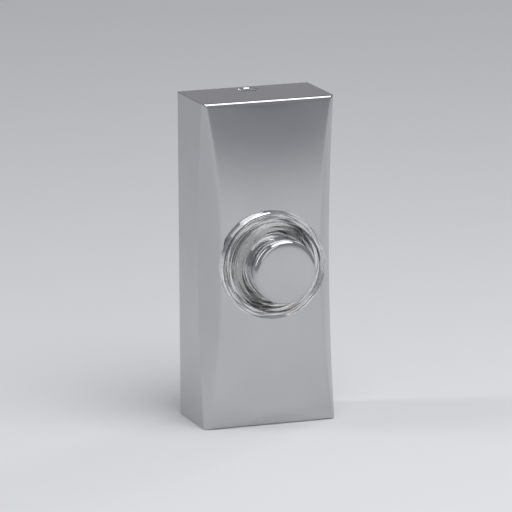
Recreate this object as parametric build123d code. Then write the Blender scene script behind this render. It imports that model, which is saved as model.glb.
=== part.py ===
"""Lit doorbell push: plated cover, clear lens ring, sprung button, contacts and lamp on a moulded base.

Sizes are in millimetres. Each piece is drawn as it lies on a table with the wall side down:
x across, y up the wall, z out from the wall. It is then stood up against the wall for export.
"""

import os
from math import hypot
from math import sqrt

from build123d import *

# General fits
running_fit = 0.05
body_gap = 0.3

# Cover: plated zinc casting, open at the back
cover_width = 33.6
cover_height = 80.0
cover_depth = 18.4
side_wall = 1.5
front_wall = 1.6
face_crown = 1.5
face_crown_fade = 0.27
face_edge_round = 0.95
front_end_round = 0.7
side_edge_round = 0.4
scallop_side_reach = 4.2
scallop_face_reach = 4.05
scallop_end_reach = 0.85

# Lens ring: clear moulding, turned profile
lens_waist_overhang = 0.15
lens_hole_fit = 0.1
lens_flange_height = 2.9
lens_ledge = 0.9
lens_step_height = 0.5
lens_step = 0.9
lens_tower_height = 1.5
lens_crest_slope = 0.7
lens_crest_round = 0.5
lens_rim_round = 0.25
lens_crest = 1.1
lens_funnel_width = 1.0
lens_funnel_depth = 0.8
lens_spigot_wall = 2.2
lens_counterbore_step = 1.1
lens_counterbore_depth = 5.2
lens_seat_drop = 0.35
lens_spigot_tail = 2.4
lens_key_slot_width = 2.4
lens_key_slot_depth = 3.6

# Lens clip: toothed spring ring behind the front wall
clip_waist_gap = 0.4
clip_thickness = 0.5
clip_tooth_count = 8
clip_slot_width = 1.2
clip_band = 1.2

# Button cap and plunger
button_gap = 0.4
button_standout = 10.65
button_wall = 1.1
button_top = 1.3
button_crown = 0.2
button_edge_round = 1.2
button_stroke = 1.8
plunger_stop_width = 1.7
plunger_collar_gap = 0.1
plunger_collar_top_gap = 0.2
plunger_flange_thickness = 1.6
plunger_core_length = 7.6
plunger_core_wall = 1.5
plunger_core_floor = 1.2
plunger_key_width = 2.0
plunger_key_height = 3.3
plunger_key_inset = 0.1
finger_width = 3.0
finger_thickness = 1.6

# Return spring
spring_radius = 3.8
spring_wire = 0.6
spring_wire_sides = 8
spring_turns = 6.0
spring_pocket_depth = 0.8
spring_play = 0.4

# Base plate: moulded back
base_thickness = 2.5
base_corner = 1.5
spring_post_gap = 0.1
wall_hole_radius = 2.1
wall_hole_top_inset = 13.0
wall_hole_bottom_inset = 10.0
wall_boss_radius = 4.3
wall_boss_height = 1.5
cable_hole_radius = 4.0
cable_hole_height = 18.0
rim_height = 1.6
rim_thickness = 1.2
tongue_width = 10.0
tongue_reach = 0.8
tongue_back = 1.2
tongue_front = 2.3
tongue_play = 0.2

# Cover screw and its captive nut
screw_height_off_wall = 4.0
screw_shank_radius = 1.25
screw_hole_radius = 1.4
screw_head_radius = 2.3
screw_head_height = 1.5
screw_head_sink = 0.3
screw_bore_radius = 2.5
screw_length = 6.9
screw_slot_width = 0.7
screw_slot_depth = 0.8
screw_pad_width = 10.0
screw_pad_drop = 1.6
screw_pad_depth = 8.0
nut_width = 5.0
nut_thickness = 2.0
nut_play = 0.1
nut_roof = 0.8
nut_floor = 1.8

# Terminals
terminal_inset = 6.25
terminal_height = -19.0
terminal_post_radius = 3.8
terminal_level = 6.0
insert_radius = 2.15
insert_floor = 1.5
terminal_head_radius = 2.6
terminal_head_height = 1.6
terminal_shank_length = 4.8
terminal_slot_depth = 0.7
washer_radius = 3.2
washer_thickness = 0.5

# Contact strips
strip_width = 4.0
strip_pad_radius = 3.3
fixed_thickness = 0.4
leaf_thickness = 0.3
contact_inset = 1.8
contact_overhang = 2.0
contact_gap = 1.1
free_travel = 0.7
tip_radius = 1.2
tip_height = 0.5
tip_shank_radius = 0.7
dimple_radius = 1.1
dimple_height = 0.5
joggle_start = -13.4
joggle_end = -10.6
strip_corner = 1.2

# Lamp, its leads and the resistor
lamp_clear = 1.3
lamp_radius = 1.5
lamp_collar_radius = 1.8
lamp_collar_height = 0.8
lamp_straight = 3.1
lamp_block_width = 4.8
lamp_block_depth = 4.0
lead_radius = 0.25
lead_spread = 1.27
lead_sink = 0.6
lead_groove_width = 0.9
lead_run_inset = 3.05
lead_bend = 0.5
resistor_radius = 0.95
resistor_length = 3.6
resistor_height = 1.6
solder_gap = 0.03

# Levels worked out from the sizes above
half_width = cover_width / 2
half_height = cover_height / 2
pocket_half_width = half_width - side_wall
pocket_half_height = half_height - side_wall
pocket_level = cover_depth - front_wall
waist_half_width = half_width - scallop_face_reach
waist_rise = face_crown * (1 - face_crown_fade * (waist_half_width / half_width) ** 2)
scallop_rise = scallop_side_reach + waist_rise
scallop_slope = hypot(scallop_rise, scallop_face_reach)
scallop_across = scallop_rise / scallop_slope
scallop_forward = scallop_face_reach / scallop_slope
pocket_waist_drop = (front_wall - scallop_side_reach) * scallop_forward - side_wall
pocket_waist_half_width = half_width + pocket_waist_drop / scallop_across
lens_flange_radius = waist_half_width + lens_waist_overhang
lens_step_radius = lens_flange_radius - lens_ledge
lens_tower_radius = lens_step_radius - lens_step
lens_crest_radius = lens_tower_radius - lens_crest_slope
lens_funnel_radius = lens_crest_radius - lens_crest
lens_bore_radius = lens_funnel_radius - lens_funnel_width
lens_spigot_radius = lens_bore_radius + lens_spigot_wall
lens_seat_level = cover_depth + face_crown - lens_seat_drop
lens_tail_level = pocket_level - lens_spigot_tail
lens_counterbore_radius = lens_bore_radius + lens_counterbore_step
lens_counterbore_level = lens_tail_level + lens_counterbore_depth
button_radius = lens_bore_radius - button_gap
button_level = lens_seat_level + button_standout
plunger_flange_radius = lens_bore_radius + plunger_stop_width
plunger_collar_inner = button_radius + plunger_collar_gap
plunger_collar_outer = lens_counterbore_radius - plunger_collar_gap
plunger_collar_level = lens_counterbore_level - plunger_collar_top_gap
plunger_key_outer = plunger_flange_radius - plunger_key_inset
contact_height = contact_inset - plunger_flange_radius
lamp_height = plunger_flange_radius + lamp_clear
plunger_back_level = lens_tail_level - plunger_flange_thickness
spring_post_level = plunger_back_level - button_stroke - spring_post_gap
tip_level = terminal_level + fixed_thickness + tip_height
leaf_back_level = tip_level + contact_gap + dimple_height
leaf_front_level = leaf_back_level + leaf_thickness
finger_tip_level = leaf_front_level + free_travel
base_half_width = pocket_half_width - body_gap
base_half_height = pocket_half_height - body_gap
terminal_offset = base_half_width - terminal_inset
lead_run_offset = base_half_width - lead_run_inset
clip_outer_radius = pocket_waist_half_width - clip_waist_gap
clip_slot_radius = clip_outer_radius - clip_band
screw_pad_level = pocket_half_height - screw_pad_drop
screw_seat_level = half_height - screw_head_sink - screw_head_height
nut_top = screw_pad_level - nut_roof
nut_bottom = nut_top - nut_thickness
lug_bottom = nut_bottom - nut_play - nut_floor
wall_hole_top = half_height - wall_hole_top_inset
wall_hole_bottom = -half_height + wall_hole_bottom_inset
lead_level = terminal_level - lead_sink
strip_solder_level = terminal_level + fixed_thickness + lead_radius + solder_gap
leaf_solder_level = terminal_level + leaf_thickness + lead_radius + solder_gap

# The wall is the XZ plane of the finished piece and the front looks along minus Y
on_the_wall = Plane(origin=(0, 0, 0), x_dir=(1, 0, 0), z_dir=(0, -1, 0))


def rod(radius, start, end, x=0.0, y=0.0):
    """Round bar standing out from the wall between two levels."""
    return Pos(x, y, start) * Cylinder(radius, end - start, align=(Align.CENTER, Align.CENTER, Align.MIN))


def block(x_from, x_to, y_from, y_to, z_from, z_to):
    """Square-edged block between six limits."""
    middle = Pos((x_from + x_to) / 2, (y_from + y_to) / 2, (z_from + z_to) / 2)
    return middle * Box(x_to - x_from, y_to - y_from, z_to - z_from)


def upright_rod(radius, bottom, top, level):
    """Round bar along the height of the push, on its centre line."""
    axis_up = Plane(origin=(0, bottom, level), x_dir=(1, 0, 0), z_dir=(0, 1, 0))
    return axis_up * Cylinder(radius, top - bottom, align=(Align.CENTER, Align.CENTER, Align.MIN))


def wire(points):
    """Round lead that follows straight runs with rounded bends."""
    path = FilletPolyline(*points, radius=lead_bend)
    start = Plane(origin=path @ 0, z_dir=path % 0)
    return sweep(start * Circle(lead_radius), path=path)


def crowned_space():
    """Everything in front of the doubly crowned front face."""
    reach = 1.1
    up_share = [1 - reach**2, 1 + reach**2, 1 - reach**2]
    fade = face_crown_fade * reach**2
    across_share = [1 - fade, 1 + fade, 1 - fade]
    net = []
    for column, across in zip((-1, 0, 1), across_share):
        line = []
        for row, up in zip((-1, 0, 1), up_share):
            x = column * reach * half_width
            y = row * reach * half_height
            line.append((x, y, cover_depth + face_crown * across * up))
        net.append(line)
    return extrude(Face.make_bezier_surface(net), amount=12, dir=(0, 0, 1))


def scallop(inset):
    """Cutter for the long hollow down the right front edge, moved into the body by the inset."""
    sag = (scallop_side_reach - scallop_end_reach) * scallop_forward
    sweep_radius = (half_height**2 + sag**2) / (2 * sag)
    reach = half_height * 1.1
    reach_sag = sweep_radius - sqrt(sweep_radius**2 - reach**2)
    origin_x = half_width - inset * scallop_across
    origin_z = cover_depth - scallop_side_reach - inset * scallop_forward
    slope_plane = Plane(
        origin=(origin_x, 0, origin_z),
        x_dir=(scallop_across, 0, scallop_forward),
        z_dir=(-scallop_forward, 0, scallop_across),
    )
    clear = half_width
    hollow = ThreePointArc((reach_sag, -reach), (0, 0), (reach_sag, reach))
    outside = Polyline((reach_sag, reach), (clear, reach), (clear, -reach), (reach_sag, -reach))
    return extrude(slope_plane * make_face(hollow + outside), amount=cover_depth, both=True)


def make_cover():
    """Plated cover: crowned front, scalloped edges, hollow inside, lens seat, screw pad and hook notch."""
    body = block(-half_width, half_width, -half_height, half_height, 0, cover_depth + face_crown + 2)
    body -= crowned_space()
    front = body.faces().sort_by(Axis.Z)[-1]
    end_edges = front.edges().filter_by(lambda edge: abs(edge.center().Y) > half_height / 2)
    body = fillet(end_edges, front_end_round)
    body -= scallop(0)
    body -= mirror(scallop(0), about=Plane.YZ)
    hollows = body.faces().filter_by(GeomType.CYLINDER).sort_by(SortBy.AREA)[-2:]
    forward_edges = hollows.edges().filter_by(lambda edge: edge.center().Z > cover_depth - front_end_round)
    face_edges = forward_edges.filter_by(lambda edge: abs(edge.center().X) < half_width - 0.2)
    body = fillet(face_edges, face_edge_round)
    hollows = body.faces().filter_by(GeomType.CYLINDER).sort_by(SortBy.AREA)[-2:]
    side_edges = hollows.edges().filter_by(lambda edge: abs(edge.center().X) > half_width - 0.01)
    body = fillet(side_edges, side_edge_round)

    pocket = block(
        -pocket_half_width, pocket_half_width, -pocket_half_height, pocket_half_height, 0, pocket_level
    )
    pocket -= scallop(side_wall)
    pocket -= mirror(scallop(side_wall), about=Plane.YZ)
    pocket -= block(
        -screw_pad_width / 2, screw_pad_width / 2, screw_pad_level, half_height, 0, screw_pad_depth
    )
    body -= pocket

    body -= rod(lens_spigot_radius + lens_hole_fit, pocket_level - 1, cover_depth + 4)
    body -= rod(lens_flange_radius + body_gap, lens_seat_level, cover_depth + 4)
    body -= upright_rod(screw_hole_radius, screw_pad_level - 1, half_height, screw_height_off_wall)
    body -= upright_rod(screw_bore_radius, screw_seat_level, half_height + 1, screw_height_off_wall)
    notch_half = tongue_width / 2 + body_gap
    notch_bottom = -base_half_height - tongue_reach - tongue_play
    body -= block(
        -notch_half, notch_half, notch_bottom, -half_height + side_wall + 0.5,
        tongue_back - tongue_play, tongue_front + tongue_play,
    )
    return body


def make_lens_ring():
    """Clear ring: counterbored spigot through the cover, flange on its seat, stepped tower, funnel mouth."""
    flange_top = lens_seat_level + lens_flange_height
    step_top = flange_top + lens_step_height
    crest = step_top + lens_tower_height
    profile = Polyline(
        (lens_counterbore_radius, lens_tail_level),
        (lens_spigot_radius, lens_tail_level),
        (lens_spigot_radius, lens_seat_level),
        (lens_flange_radius, lens_seat_level),
        (lens_flange_radius, flange_top),
        (lens_step_radius, flange_top),
        (lens_step_radius, step_top),
        (lens_tower_radius, step_top),
        (lens_tower_radius, crest - lens_crest_round),
        (lens_crest_radius, crest),
        (lens_funnel_radius, crest),
        (lens_bore_radius, crest - lens_funnel_depth),
        (lens_bore_radius, lens_counterbore_level),
        (lens_counterbore_radius, lens_counterbore_level),
        close=True,
    )
    outline = make_face(Plane.XZ * profile)
    ring = revolve(outline, axis=Axis.Z)
    slot_half = lens_key_slot_width / 2
    ring -= block(
        -lens_spigot_radius - 1, lens_spigot_radius + 1, -slot_half, slot_half,
        lens_tail_level - 1, lens_tail_level + lens_key_slot_depth,
    )
    rims = ring.edges().filter_by(GeomType.CIRCLE)
    flange_rim = rims.filter_by(lambda edge: edge.radius > lens_step_radius + 0.1).sort_by(Axis.Z)[-1]
    step_rim = rims.filter_by(lambda edge: abs(edge.radius - lens_step_radius) < 0.1).sort_by(Axis.Z)[-1]
    return fillet([flange_rim, step_rim], lens_rim_round)


def make_lens_clip():
    """Flat spring ring with teeth that grip the lens spigot."""
    ring = rod(clip_outer_radius, pocket_level - clip_thickness, pocket_level)
    ring -= rod(lens_spigot_radius + running_fit, pocket_level - 2, pocket_level + 1)
    for index in range(clip_tooth_count):
        slot = block(
            0, clip_slot_radius, -clip_slot_width / 2, clip_slot_width / 2, pocket_level - 2, pocket_level + 1
        )
        ring -= Rot(0, 0, (index + 0.5) * 360 / clip_tooth_count) * slot
    return ring


def make_button_cap():
    """Plated cup with a slightly domed face that is pressed with a fingertip."""
    dome_radius = (button_radius**2 + button_crown**2) / (2 * button_crown)
    cup = rod(button_radius, lens_tail_level, button_level)
    cup &= Pos(0, 0, button_level - dome_radius) * Sphere(dome_radius)
    rim = cup.edges().filter_by(lambda edge: edge.is_closed).sort_by(Axis.Z)[-1]
    cup = fillet(rim, button_edge_round)
    cup -= rod(button_radius - button_wall, lens_tail_level - 1, button_level - button_top)
    return cup


def make_plunger():
    """Moulded core of the button: flange, core in the cap, keyed collar, spring pocket and finger."""
    core_radius = button_radius - button_wall - running_fit
    core_top = lens_tail_level + plunger_core_length
    body = rod(plunger_flange_radius, plunger_back_level, lens_tail_level)
    body += rod(core_radius, lens_tail_level, core_top)
    body -= rod(core_radius - plunger_core_wall, lens_tail_level + plunger_core_floor, core_top + 1)
    body += rod(plunger_collar_outer, lens_tail_level, plunger_collar_level) - rod(
        plunger_collar_inner, lens_tail_level - 1, plunger_collar_level + 1
    )
    key_half = plunger_key_width / 2
    key_root = (plunger_collar_inner + plunger_collar_outer) / 2
    key = block(
        key_root, plunger_key_outer, -key_half, key_half,
        lens_tail_level, lens_tail_level + plunger_key_height,
    )
    body += key
    body += mirror(key, about=Plane.YZ)
    groove_outer = spring_radius + spring_wire / 2 + spring_play
    groove_inner = spring_radius - spring_wire / 2 - spring_play
    groove = rod(groove_outer, plunger_back_level - 1, plunger_back_level + spring_pocket_depth)
    groove -= rod(groove_inner, plunger_back_level - 2, plunger_back_level + spring_pocket_depth + 1)
    body -= groove
    body += block(
        -finger_width / 2, finger_width / 2,
        contact_height - finger_thickness / 2, contact_height + finger_thickness / 2,
        finger_tip_level, plunger_back_level,
    )
    return body


def make_spring():
    """Coil spring with a flat dead turn at each end."""
    bottom = base_thickness + spring_wire / 2
    top = plunger_back_level + spring_pocket_depth - spring_wire / 2
    wire_outline = RegularPolygon(spring_wire / 2, spring_wire_sides)
    coil_path = Helix(pitch=(top - bottom) / spring_turns, height=top - bottom, radius=spring_radius)
    coil_start = Plane(origin=coil_path @ 0, z_dir=coil_path % 0)
    coil = Pos(0, 0, bottom) * sweep(coil_start * wire_outline, path=coil_path, is_frenet=True)
    dead_turn = revolve(Plane.XZ * Pos(spring_radius, 0) * wire_outline, axis=Axis.Z)
    coil += Pos(0, 0, bottom) * dead_turn
    coil += Pos(0, 0, top) * dead_turn
    return coil


def make_base_plate():
    """Moulded base: plate with rim, wall bosses, cable entry, posts, lamp block, nut lug and hook tongue."""
    plate = block(-base_half_width, base_half_width, -base_half_height, base_half_height, 0, base_thickness)
    plate = fillet(plate.edges().filter_by(Axis.Z), base_corner)
    rim_top = base_thickness + rim_height
    rim = block(-base_half_width, base_half_width, -base_half_height, base_half_height, 0, rim_top)
    rim = fillet(rim.edges().filter_by(Axis.Z), base_corner)
    rim -= block(
        -base_half_width + rim_thickness, base_half_width - rim_thickness,
        -base_half_height + rim_thickness, base_half_height - rim_thickness, 0, rim_top + 1,
    )
    body = plate + rim
    body += rod(wall_boss_radius, base_thickness, base_thickness + wall_boss_height, 0, wall_hole_top)
    body += rod(wall_boss_radius, base_thickness, base_thickness + wall_boss_height, 0, wall_hole_bottom)
    post_radius = spring_radius - spring_wire / 2 - spring_play
    body += rod(post_radius, base_thickness, spring_post_level)
    for x in (-terminal_offset, terminal_offset):
        body += rod(terminal_post_radius, base_thickness, terminal_level, x, terminal_height)
    half_strip = strip_width / 2
    body += block(
        -contact_overhang - 1.5, contact_overhang, contact_height - half_strip, contact_height + half_strip,
        base_thickness, terminal_level,
    )
    body += block(
        -lamp_block_width / 2, lamp_block_width / 2,
        lamp_height - lamp_block_depth / 2, lamp_height + lamp_block_depth / 2,
        base_thickness, terminal_level,
    )
    lug_half = screw_pad_width / 2
    body += block(-lug_half, lug_half, lug_bottom, screw_pad_level, base_thickness, screw_pad_depth)
    tongue_half = tongue_width / 2
    body += block(
        -tongue_half, tongue_half, -base_half_height - tongue_reach, -base_half_height + 1,
        tongue_back, tongue_front,
    )

    body -= rod(wall_hole_radius, -1, base_thickness + 4, 0, wall_hole_top)
    body -= rod(wall_hole_radius, -1, base_thickness + 4, 0, wall_hole_bottom)
    body -= rod(cable_hole_radius, -1, base_thickness + 4, 0, cable_hole_height)
    for x in (-terminal_offset, terminal_offset):
        body -= rod(insert_radius + running_fit, insert_floor, terminal_level + 1, x, terminal_height)
    body -= rod(tip_shank_radius + running_fit, terminal_level - 1.0, terminal_level + 1, 0, contact_height)
    groove_half = lead_groove_width / 2
    body -= block(
        -lamp_block_width, lamp_block_width, lamp_height - groove_half, lamp_height + groove_half,
        lead_level - groove_half, terminal_level + 1,
    )
    nut_half = nut_width / 2 + nut_play
    body -= block(
        -nut_half, nut_half, nut_bottom - nut_play, nut_top,
        screw_height_off_wall - nut_half, screw_pad_depth + 1,
    )
    body -= upright_rod(screw_hole_radius, lug_bottom - 1, screw_pad_level + 1, screw_height_off_wall)
    pad_half = lug_half + body_gap
    body -= block(-pad_half, pad_half, screw_pad_level, half_height, -1, screw_pad_depth + 1)
    return body


def make_cover_screw():
    """Cheese-head screw that is sunk in the top of the cover."""
    head_top = screw_seat_level + screw_head_height
    body = upright_rod(screw_head_radius, screw_seat_level, head_top, screw_height_off_wall)
    rim = body.edges().sort_by(Axis.Y)[-1]
    body = fillet(rim, 0.25)
    tip_end = screw_seat_level - screw_length
    body += upright_rod(screw_shank_radius, tip_end, screw_seat_level, screw_height_off_wall)
    tip = body.edges().sort_by(Axis.Y)[0]
    body = chamfer(tip, 0.4)
    body -= block(
        -screw_head_radius, screw_head_radius, head_top - screw_slot_depth, head_top + 1,
        screw_height_off_wall - screw_slot_width / 2, screw_height_off_wall + screw_slot_width / 2,
    )
    return body


def make_cover_nut():
    """Square nut held in the lug of the base."""
    half = nut_width / 2
    body = block(
        -half, half, nut_bottom, nut_top, screw_height_off_wall - half, screw_height_off_wall + half
    )
    return body - upright_rod(
        screw_shank_radius + running_fit, nut_bottom - 1, nut_top + 1, screw_height_off_wall
    )


def make_insert(side):
    """Threaded brass tube in a terminal post."""
    x = side * terminal_offset
    bore_radius = screw_shank_radius + running_fit
    body = rod(insert_radius, insert_floor, terminal_level, x, terminal_height)
    return body - rod(bore_radius, insert_floor - 1, terminal_level + 1, x, terminal_height)


def make_washer(side, level):
    """Plain washer that clamps a bell wire on a strip."""
    x = side * terminal_offset
    body = rod(washer_radius, level, level + washer_thickness, x, terminal_height)
    return body - rod(screw_hole_radius, level - 1, level + 2, x, terminal_height)


def make_terminal_screw(side, level):
    """Slotted screw of a terminal, with its head on the washer."""
    x = side * terminal_offset
    seat = level + washer_thickness
    head = rod(terminal_head_radius, seat, seat + terminal_head_height, x, terminal_height)
    head = fillet(head.edges().sort_by(Axis.Z)[-1], 0.5)
    slot = Box(terminal_head_radius * 2 + 1, screw_slot_width, terminal_slot_depth * 2)
    head -= Pos(x, terminal_height, seat + terminal_head_height) * Rot(0, 0, side * 35) * slot
    return head + rod(screw_shank_radius, seat - terminal_shank_length, seat, x, terminal_height)


def make_fixed_contact():
    """L-shaped strip from the left terminal to the middle."""
    half = strip_width / 2
    top = terminal_level + fixed_thickness
    x = -terminal_offset
    body = rod(strip_pad_radius, terminal_level, top, x, terminal_height)
    body += block(x - half, x + half, terminal_height, contact_height + half, terminal_level, top)
    body += block(
        x - half, contact_overhang, contact_height - half, contact_height + half, terminal_level, top
    )
    corners = body.edges().filter_by(Axis.Z).filter_by(
        lambda edge: edge.center().Y > contact_height - half - 0.1
    )
    body = fillet(corners, strip_corner)
    body -= rod(screw_hole_radius, terminal_level - 1, top + 1, x, terminal_height)
    body -= rod(tip_shank_radius + running_fit, terminal_level - 1, top + 1, 0, contact_height)
    return body


def make_contact_tip():
    """Domed contact rivet on the fixed strip."""
    strip_top = terminal_level + fixed_thickness
    dome_radius = (tip_radius**2 + tip_height**2) / (2 * tip_height)
    dome = Pos(0, contact_height, tip_level - dome_radius) * Sphere(dome_radius)
    head = dome & rod(tip_radius * 2, strip_top, tip_level + 1, 0, contact_height)
    return head + rod(tip_shank_radius, terminal_level - 0.6, strip_top, 0, contact_height)


def make_moving_contact():
    """L-shaped leaf from the right terminal, stepped up over the fixed strip, with a pressed dimple."""
    half = strip_width / 2
    x = terminal_offset
    low = terminal_level
    step = Polyline(
        (terminal_height, low),
        (joggle_start, low),
        (joggle_end, leaf_back_level),
        (contact_height + half, leaf_back_level),
        (contact_height + half, leaf_front_level),
        (joggle_end - leaf_thickness / 2, leaf_front_level),
        (joggle_start - leaf_thickness / 2, low + leaf_thickness),
        (terminal_height, low + leaf_thickness),
        close=True,
    )
    side_view = Plane(origin=(x - half, 0, 0), x_dir=(0, 1, 0), z_dir=(1, 0, 0))
    body = extrude(side_view * make_face(step), amount=strip_width)
    body += rod(strip_pad_radius, low, low + leaf_thickness, x, terminal_height)
    body += block(
        -contact_overhang, x + half, contact_height - half, contact_height + half,
        leaf_back_level, leaf_front_level,
    )
    corners = body.edges().filter_by(Axis.Z).filter_by(
        lambda edge: edge.center().Y > contact_height - half + 0.1 or edge.center().X < 0
    )
    body = fillet(corners, strip_corner)
    body -= rod(screw_hole_radius, low - 1, low + 2, x, terminal_height)
    dome_radius = (dimple_radius**2 + dimple_height**2) / (2 * dimple_height)
    dome_centre = Pos(0, contact_height, leaf_back_level - dimple_height + dome_radius)
    leaf_middle = leaf_back_level + leaf_thickness / 2
    below = rod(dimple_radius * 2, leaf_back_level - 1, leaf_middle, 0, contact_height)
    dimple = (dome_centre * Sphere(dome_radius)) & below
    body += dimple
    body -= Pos(0, 0, leaf_thickness) * dimple
    return body


def make_lamp():
    """Small clear lamp with a domed nose."""
    straight_top = terminal_level + lamp_collar_height + lamp_straight - lamp_radius
    body = rod(lamp_collar_radius, terminal_level, terminal_level + lamp_collar_height, 0, lamp_height)
    body += rod(lamp_radius, terminal_level, straight_top, 0, lamp_height)
    return body + Pos(0, lamp_height, straight_top) * Sphere(lamp_radius)


def make_left_lead():
    """Lead from the lamp to the corner of the fixed strip."""
    points = [
        (-lead_spread, lamp_height, terminal_level),
        (-lead_spread, lamp_height, lead_level),
        (-lead_run_offset, lamp_height, lead_level),
        (-lead_run_offset, -2.0, lead_level),
        (-terminal_offset, contact_height + 1.6, strip_solder_level),
        (-terminal_offset, contact_height - 0.6, strip_solder_level),
    ]
    return wire(points)


def make_right_lead():
    """Lead from the lamp to the resistor."""
    points = [
        (lead_spread, lamp_height, terminal_level),
        (lead_spread, lamp_height, lead_level),
        (lead_run_offset, lamp_height, lead_level),
        (lead_run_offset, resistor_height + resistor_length / 2, lead_level),
    ]
    return wire(points)


def make_resistor():
    """Waisted resistor with the lead that is soldered to the clamped end of the leaf."""
    end_length = resistor_length * 0.28
    low = resistor_height - resistor_length / 2
    along = Plane(origin=(lead_run_offset, low, lead_level), x_dir=(1, 0, 0), z_dir=(0, 1, 0))
    middle = Cylinder(resistor_radius * 0.85, resistor_length, align=(Align.CENTER, Align.CENTER, Align.MIN))
    end = Cylinder(resistor_radius, end_length, align=(Align.CENTER, Align.CENTER, Align.MIN))
    end = fillet(end.edges().filter_by(GeomType.CIRCLE), 0.2)
    body = along * (middle + end + Pos(0, 0, resistor_length - end_length) * end)
    points = [
        (lead_run_offset, low + 0.2, lead_level),
        (lead_run_offset, low - 1.5, lead_level),
        (lead_run_offset, joggle_end, leaf_solder_level),
        (lead_run_offset, joggle_start - 1.2, leaf_solder_level),
        (terminal_offset + 0.6, joggle_start - 1.2, leaf_solder_level),
    ]
    return body + wire(points)


os.makedirs("parts", exist_ok=True)

strip_top = terminal_level + fixed_thickness
leaf_top = terminal_level + leaf_thickness

pieces = {
    "cover": make_cover(),
    "base_plate": make_base_plate(),
    "cover_screw": make_cover_screw(),
    "cover_nut": make_cover_nut(),
    "lens_ring": make_lens_ring(),
    "lens_clip": make_lens_clip(),
    "button_cap": make_button_cap(),
    "button_plunger": make_plunger(),
    "return_spring": make_spring(),
    "fixed_contact": make_fixed_contact(),
    "fixed_contact_tip": make_contact_tip(),
    "moving_contact": make_moving_contact(),
    "terminal_insert_left": make_insert(-1),
    "terminal_insert_right": make_insert(1),
    "terminal_washer_left": make_washer(-1, strip_top),
    "terminal_washer_right": make_washer(1, leaf_top),
    "terminal_screw_left": make_terminal_screw(-1, strip_top),
    "terminal_screw_right": make_terminal_screw(1, leaf_top),
    "lamp": make_lamp(),
    "lamp_lead_left": make_left_lead(),
    "lamp_lead_right": make_right_lead(),
    "resistor": make_resistor(),
}

for name, piece in pieces.items():
    export_step(on_the_wall * piece, f"parts/{name}.step")
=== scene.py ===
"""Lit doorbell push, dressed for its picture: plated cover, clear ring, button, screw and the works inside.

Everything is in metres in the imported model's own frame: X across, Z up the wall, the front looks along -Y.
A "level" is a distance out from the wall, so a point at level 0.010 has Y = -0.010.
"""

import logging
from abc import ABC
from abc import abstractmethod
from dataclasses import dataclass
from enum import Enum
from math import acos
from math import cos
from math import pi
from math import radians
from math import sin
from math import sqrt
from math import tan

import bmesh
import bpy
from mathutils import Matrix
from mathutils import Vector


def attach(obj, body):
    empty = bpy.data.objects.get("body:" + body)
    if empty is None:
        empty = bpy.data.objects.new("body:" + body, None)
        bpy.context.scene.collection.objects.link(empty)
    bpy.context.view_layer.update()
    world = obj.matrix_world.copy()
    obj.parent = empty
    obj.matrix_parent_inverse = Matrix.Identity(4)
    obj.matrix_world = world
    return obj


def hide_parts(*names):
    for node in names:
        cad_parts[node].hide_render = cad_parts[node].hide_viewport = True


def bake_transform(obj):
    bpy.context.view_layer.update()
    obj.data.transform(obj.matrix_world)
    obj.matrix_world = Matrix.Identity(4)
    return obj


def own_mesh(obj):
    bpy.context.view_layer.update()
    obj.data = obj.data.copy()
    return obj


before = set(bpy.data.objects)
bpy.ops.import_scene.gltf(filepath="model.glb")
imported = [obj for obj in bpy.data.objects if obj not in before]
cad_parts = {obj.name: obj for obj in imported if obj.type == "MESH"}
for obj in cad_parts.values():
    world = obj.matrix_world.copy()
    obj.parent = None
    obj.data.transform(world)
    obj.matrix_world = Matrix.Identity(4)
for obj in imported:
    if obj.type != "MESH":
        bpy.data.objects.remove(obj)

Colour = tuple[float, float, float]
Point = tuple[float, float]
Corner = tuple[float, float, float]
Place = tuple[float, float, float]

LOG = logging.getLogger("bell_push")
MM = 0.001
WELD = 1.0e-7
UPRIGHT = (0, 0, 0)
SMALL_SEGMENTS = 64
NOISE_LOW = 0.3
NOISE_HIGH = 0.7
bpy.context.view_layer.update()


class Body(Enum):
    """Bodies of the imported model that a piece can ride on."""

    HOUSING = "housing"
    BUTTON = "button"


class Slot(Enum):
    """Names of material slots; nothing in this script uses them."""

    CHROME = "chrome_plate"
    STEEL = "plated_steel"
    CLEAR = "clear_plastic"
    SPRING = "spring_steel"
    BRONZE = "contact_bronze"


class Coat(Enum):
    """Coats of the cover, numbered in the order that its mesh holds them."""

    CHROME = 0
    CAST = 1
    SEAT = 2


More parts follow.
